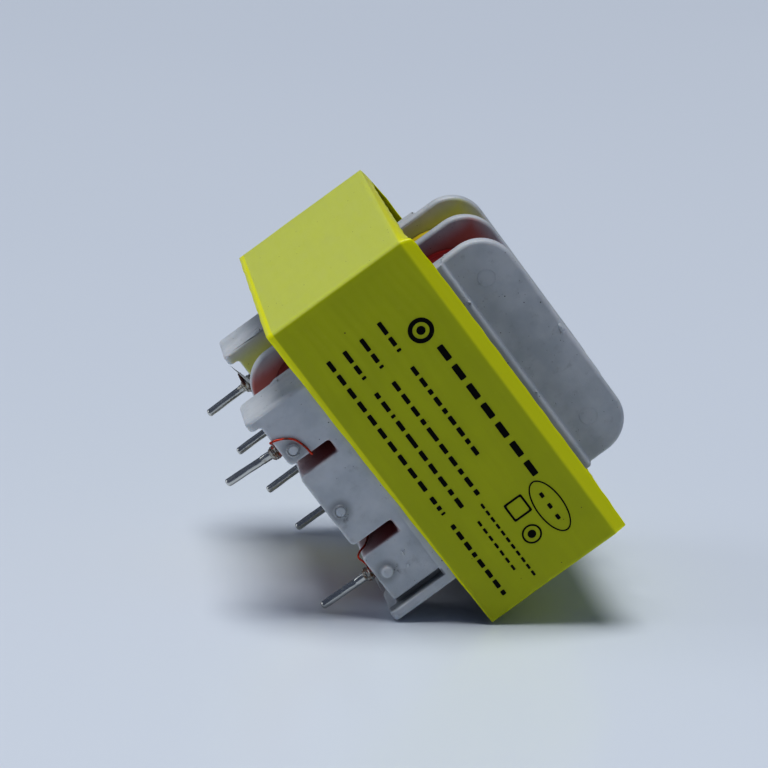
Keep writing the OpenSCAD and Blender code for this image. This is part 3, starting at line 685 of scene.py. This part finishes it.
# %% The wound films
def wound_film(name, node, finish, bulge):
    """A tube of film between two rounded rectangles. Its outside swells by the bulge times
    1 - s squared, with s going from -1 to 1 across the chamber.
    """
    lo, hi = (np.array(v) * 1000 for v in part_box(node))
    half_w, half_h, mid_z = (hi[0] - lo[0]) / 2, (hi[2] - lo[2]) / 2, (lo[2] + hi[2]) / 2
    outside = rounded_path(half_w - bulge, half_h - bulge, COIL_R, 24, 12)
    inside = rounded_path(half_w - 0.2, half_h - 0.2, COIL_R - 0.2, 24, 12)
    s = np.linspace(-1, 1, 15)
    swell = (bulge * (1 - s**2))[:, None, None] * outside / np.hypot(*outside.T)[:, None]
    waves = 0.02 * np.sin(9 * np.arctan2(*outside.T))[None, :, None] * outside / half_w
    y = (lo[1] + hi[1]) / 2 + s * (hi[1] - lo[1]) / 2
    skins = np.concatenate([outside + swell - np.abs(waves), np.repeat(inside[None], 2, 0)])
    depth = np.broadcast_to(np.r_[y, y[-1], y[0]][:, None], skins.shape[:2])
    points = np.stack([skins[..., 0], depth, skins[..., 1] + mid_z], -1)
    return piece(name, points, grid_faces(*points.shape[:2], True, True), finish, [node])


COIL_R = 5.2
wound_film("primary_film", "primary_wrap", maroon_film, 0.12)
wound_film("secondary_film", "secondary_wrap", amber_film, 0.12)

# %% [markdown]
# The pins are round tinned wire, pressed into the bars. Hand tinning leaves them not quite
# round, with flux stains near the plastic. Each pin is a profile turned about its axis, with the
# radius waving a little with height and angle, and it leans by a few hundredths.

# %% Tinned wire
tin = Finish("tinned_wire", Metallic=0.95)
drawn = tin.noise(2.0, 3.0, 0.6, (1, 1, 0.25))
stained = tin.noise(1.1, 4.0, 0.65, shift=2.0).ramp(0.5, 0.7) * tin.z.ramp(2.2, 5.2)
tin.set("Base Color", tin.mix(stained * 0.6, tin.mix(drawn, paint(170, 170, 166), paint(214, 214, 208)),
                              paint(116, 96, 58)))
tin.set("Roughness", drawn.ramp(0.3, 0.7, 0.12, 0.24) + stained * 0.25)
tin.bump(drawn, 0.05)

BAR_Z, SEAT_TOP_Z, PIN_R, TIP_R = 5.95, 9.7, 0.395, 0.26
KNURL_R = 0.43


def pin_shape(x, y, lean, knurl_z, seed):
    """A turned pin. The tip rounds off as a quarter circle; above knurl_z the wire is squeezed to
    eight flats, which the radius follows as flat / cos of the angle from each flat's middle.
    """
    low_z = TIP_R * (1 - np.cos(np.linspace(0, np.pi / 2, 7)))
    high_z = np.r_[np.linspace(TIP_R, knurl_z - 0.06, 26)[1:], knurl_z + 0.02, BAR_Z + 0.02, SEAT_TOP_Z]
    z = np.r_[low_z, high_z]
    r = np.r_[PIN_R - TIP_R + TIP_R * np.sin(np.linspace(0, np.pi / 2, 7)), np.full(len(high_z), PIN_R)]
    angle = np.linspace(0, 2 * np.pi, 32, endpoint=False)[None, :]
    zz, rr = z[:, None], r[:, None]
    wave = 1 + 0.020 * np.sin(2.3 * zz + seed) * np.cos(angle + seed)
    wave = wave - 0.012 * np.cos(2 * angle + 3 * zz)
    eighth = (angle + np.pi / 8) % (np.pi / 4) - np.pi / 8
    flats = KNURL_R * np.cos(np.pi / 8) / np.cos(eighth)
    radius = np.where(zz > knurl_z, np.minimum(flats, KNURL_R), rr * wave)
    off = lean * np.clip(BAR_Z - zz, 0, None) / BAR_Z
    points = np.stack([x + off + radius * np.cos(angle), y + radius * np.sin(angle), zz + 0 * angle], -1)
    caps = [np.arange(32), np.arange(32) + 32 * (len(z) - 1)]
    return points, grid_faces(len(z), 32, close_columns=True), caps


# %% Six pins
ROW_Y, FIRST_X, STEP = 12.0, 7.5, 5.0
PINS = {"pin_1": (-FIRST_X, -ROW_Y, -0.30, 4.0), "pin_3": (FIRST_X, -ROW_Y, -0.12, 4.0),
        "pin_4": (FIRST_X, ROW_Y, -0.06, 4.0), "pin_5": (FIRST_X - STEP, ROW_Y, 0.05, BAR_Z),
        "pin_6": (STEP - FIRST_X, ROW_Y, 0.04, BAR_Z), "pin_7": (-FIRST_X, ROW_Y, 0.10, 4.0)}
for k, (node, (x, y, lean, knurl_z)) in enumerate(PINS.items()):
    points, faces, caps = pin_shape(x, y, lean, knurl_z, 1.7 * k)
    wire = piece("tinned_" + node, points, faces, tin, [node], caps)
    sharpen(wire, 40)

# %% [markdown]
# The leads are thin enamelled wires. Each leaves its winding through a slot, runs under the bar
# to a pin and is wound round it. The route is a list of points, smoothed by a curve that passes
# through all of them, and a round section is carried along it.

# %% Enamelled leads
red_enamel = Finish("red_enamel", Metallic=0.5, IOR=1.55)
scorched = red_enamel.noise(1.6, 3.0, 0.6).ramp(0.45, 0.65)
red_enamel.set("Base Color", red_enamel.mix(scorched, paint(196, 58, 30), paint(104, 44, 26)))
red_enamel.set("Roughness", scorched.ramp(0, 1, 0.25, 0.45))
dark_enamel = Finish("dark_enamel", Metallic=0.4, IOR=1.55)
burnt = dark_enamel.noise(2.0, 3.0, 0.6)
dark_enamel.set("Base Color", dark_enamel.mix(burnt, paint(30, 16, 12), paint(84, 40, 28)))
dark_enamel.set("Roughness", burnt.ramp(0.3, 0.7, 0.3, 0.55))


def smooth(points, steps):
    """A curve through all the points: on each stretch from b to c, half of
    2b + (c - a)t + (2a - 5b + 4c - d)t^2 + (3b - a - 3c + d)t^3.
    """
    p = np.array(points, float)
    a, b, c, d = np.vstack([p[:1], p[:-2]]), p[:-1], p[1:], np.vstack([p[2:], p[-1:]])
    t = (np.arange(steps) / steps)[None, :, None]
    a, b, c, d = (v[:, None] for v in (a, b, c, d))
    run = 2 * b + (c - a) * t + (2 * a - 5 * b + 4 * c - d) * t**2 + (3 * b - a - 3 * c + d) * t**3
    return np.vstack([(run / 2).reshape(-1, 3), p[-1:]])


def tube(route, radius, sides):
    """A circle carried along a route. Its two side directions are the upright direction less its
    part along the route, and the cross product of the route's direction with that.
    """
    ahead = np.gradient(route, axis=0)
    ahead /= np.linalg.norm(ahead, axis=1, keepdims=True)
    side = np.array([0.02, 0.01, 1.0]) - ahead * ahead[:, 2:]
    side /= np.linalg.norm(side, axis=1, keepdims=True)
    other = np.cross(ahead, side)
    angle = np.linspace(0, 2 * np.pi, sides, endpoint=False)[None, :, None]
    points = route[:, None] + radius * (np.cos(angle) * side[:, None] + np.sin(angle) * other[:, None])
    caps = [np.arange(sides), np.arange(sides) + sides * (len(route) - 1)]
    return points, grid_faces(len(route), sides, close_columns=True), caps


# %% Routes of the leads
INNER_Y, FACE_Y, GAP = 8.3, 14.7, 0.03
SLOT_HALF = 0.7


def turns(x, d, start, way, count=2.5):
    """A screw line round a pin: the angle grows evenly while the height falls by 1.1 wire a turn."""
    k = np.arange(int(count * 24) + 1)
    angle = np.radians(start + way * 15 * k)
    r = KNURL_R + d / 2 + GAP
    height = BAR_Z - GAP - d / 2 - 1.1 * d * k / 24
    return np.stack([x + r * np.cos(angle), r * np.sin(angle) - ROW_Y, height], 1)


def face_route(d):
    """From the first slot out over the bar's face, under its edge and round the pin on the left."""
    x, face, under = SLOT_1 - SLOT_HALF + d / 2 + 2 * GAP, FACE_Y + d / 2 + GAP, BAR_Z - d / 2 - GAP
    plan = [(0.2, -INNER_Y + 0.05, 1.8), (0.2, -INNER_Y - 0.6, 1.8), (0.2, -INNER_Y - 1.6, 1.8),
            (0.1, -ROW_Y, 2.1), (0, 0.5 - FACE_Y, 2.3), (-0.1, -face, 2.3), (-0.8, -face, 2.25),
            (-1.5, -face, 2.1), (-2.2, -face, 1.8), (-2.75, -face, 1.2), (-3.1, -face, 0.5),
            (-3.25, -face - 0.02, -0.02)]
    run = [(x + a, b, BAR_Z + c) for a, b, c in plan]
    run += [(x - 3.2, 0.1 - face, under - 0.03), (x - 2.8, 0.9 - face, under),
            (-FIRST_X - 0.9, -ROW_Y - 0.65, under)]
    return np.vstack([smooth(run, 6), turns(-FIRST_X, d, 250, 1)])


def edge_route(d, way, slot, tail=0.0):
    """From a slot down its side and under the bar to the pin on that side, with a cut end or none."""
    x, pin_x = slot + way * (SLOT_HALF - d / 2 - 2 * GAP), way * FIRST_X
    under, turn_x, near_x = BAR_Z - d / 2 - GAP, x + way * 0.3, pin_x - way * 0.7
    plan = [(x, -INNER_Y + 0.05, BAR_Z + 1.7), (x, -INNER_Y - 0.6, BAR_Z + 1.7),
            (x, -INNER_Y - 1.3, BAR_Z + 1.7), (x, 0.9 - ROW_Y, BAR_Z + 1.3),
            (x, -ROW_Y - 0.4, BAR_Z + 0.8), (x - way * 0.03, -ROW_Y - 1.2, BAR_Z + 0.1),
            (turn_x, -ROW_Y - 1.35, under - 0.15), ((turn_x + near_x) / 2, -ROW_Y - 1.05, under - 0.03),
            (near_x, -ROW_Y - 0.6, under)]
    run = np.vstack([smooth(plan, 6), turns(pin_x, d, 250 if way > 0 else 290, way)])
    if tail:
        end = run[-1]
        cut = [end, end + [way * tail * 0.45, -0.12 * tail, -0.04 * tail],
               end + [way * tail, -0.2 * tail, 0.08 * tail]]
        run = np.vstack([run, smooth(cut, 5)[1:]])
    return run


# %% Four leads
BACK = np.array([-1, -1, 1])
PRIMARY_D, SECONDARY_D = 0.2, 0.34
LEADS = {"primary_start_lead": (face_route(PRIMARY_D), PRIMARY_D, red_enamel, "lead_enamel"),
         "primary_finish_lead": (edge_route(PRIMARY_D, 1, SLOT_2), PRIMARY_D, red_enamel, "lead_enamel"),
         "secondary_start_lead": (edge_route(SECONDARY_D, -1, SLOT_1) * BACK, SECONDARY_D,
                                  dark_enamel, "lead_dark"),
         "secondary_finish_lead": (edge_route(SECONDARY_D, 1, SLOT_2, 1.3) * BACK, SECONDARY_D,
                                   dark_enamel, "lead_dark")}
for node, (route, d, finish, slot) in LEADS.items():
    points, faces, caps = tube(route, d / 2, 12)
    piece(node.replace("lead", "wire"), points, faces, finish, [node], caps)

# %% [markdown]
# Each winding end is soldered to its pin, by dipping: the turns of wire still show as rounds
# under a skin of solder, and brown flux stays near the plastic. The collar is a turned profile
# whose radius also follows the screw of the wire below it.

# %% Solder
solder = Finish("solder_and_flux", IOR=1.6)
flux = solder.noise(1.8, 4.0, 0.6, shift=1.0).ramp(0.46, 0.60)
shine = solder.noise(3.0, 2.0, 0.5)
solder.set("Base Color", solder.mix(flux, solder.mix(shine, paint(128, 126, 120), paint(186, 184, 176)),
                                    paint(96, 62, 26)))
solder.set("Metallic", 0.9 - flux * 0.85)
solder.set("Roughness", shine.ramp(0.3, 0.7, 0.18, 0.34))
solder.bump(shine + flux * 0.6, 0.06)


def collar(x, y, d, way, seed):
    """Solder over the turns: radius from the pin out to the wire, with a ridge where the screw of
    the wire passes, closed above at the plastic and drawn out thin below.
    """
    high = BAR_Z - 0.02
    low = high - d * (1 + 1.1 * 2.5) - 0.35
    share = np.linspace(0, 1, 34)[:, None]
    z = high + (low - high) * share
    angle = np.linspace(0, 2 * np.pi, 40, endpoint=False)[None, :]
    screw = 0.5 + 0.5 * np.cos(2 * np.pi * (high - z) / (1.1 * d) - way * angle)
    body = np.sin(np.pi * np.clip(share * 1.05, 0, 1)) ** 0.45
    lump = 0.06 * np.sin(2 * angle + seed) * np.sin(3 * share * np.pi + seed)
    lump = lump + 0.04 * np.cos(3 * angle - seed)
    wide = KNURL_R + 0.02 + body * (d * 0.86 + 0.05 + 0.10 * d / 0.2 * screw * 0.5 + lump)
    radius = np.where(share >= 1, PIN_R - 0.02, wide)
    points = np.stack([x + radius * np.cos(angle), y + radius * np.sin(angle), z + 0 * angle], -1)
    return points, grid_faces(34, 40, close_columns=True), [np.arange(40), np.arange(40) + 40 * 33]


COLLARS = (("1", -FIRST_X, -ROW_Y, PRIMARY_D, 1, 0.4), ("3", FIRST_X, -ROW_Y, PRIMARY_D, 1, 2.1),
           ("4", FIRST_X, ROW_Y, SECONDARY_D, -1, 3.3), ("7", -FIRST_X, ROW_Y, SECONDARY_D, 1, 5.2))
for node, x, y, d, way, seed in COLLARS:
    points, faces, caps = collar(x, y, d, way, seed)
    piece("solder_collar_" + node, points, faces, solder, ["solder_joint_" + node], caps)

# %% [markdown]
# The table is a wide sheet of smooth pale board. It shows a soft reflection close to the
# transformer. It isn't part of the object. Seen from below it lets the camera through, so that
# the underside can be looked at too.

# %% Table
board = Finish("pale_board", Roughness=0.26, IOR=1.5)
board.set("Base Color", board.mix(board.noise(0.004, 2.0), paint(222, 229, 238), paint(230, 236, 243)))
clear = board.node("ShaderNodeBsdfTransparent")
behind = board.node("ShaderNodeNewGeometry", out="Backfacing")
face = Signal(board, board.shader.outputs[0])
shown = board.node("ShaderNodeMixShader", {}, {0: behind, 1: face, 2: clear})
board.tree.links.new(shown.socket, board.tree.nodes["Material Output"].inputs["Surface"])

HALF_TABLE = 2500.0
across = np.array([[-1, -1], [1, -1], [1, 1], [-1, 1]]) * HALF_TABLE
corners = TABLE_POINT - 0.02 * UP + across[:, :1] * along_table + across[:, 1:] * np.array([0, 1, 0])
table = bpy.data.meshes.new("table")
table.from_pydata((corners * 0.001).tolist(), [], [[0, 1, 2, 3]])
table_top = bpy.data.objects.new("table", table)
bpy.context.scene.collection.objects.link(table_top)
table.materials.append(board.material)
if table.polygons[0].normal.dot(Vector(UP.tolist())) < 0:
    table.flip_normals()
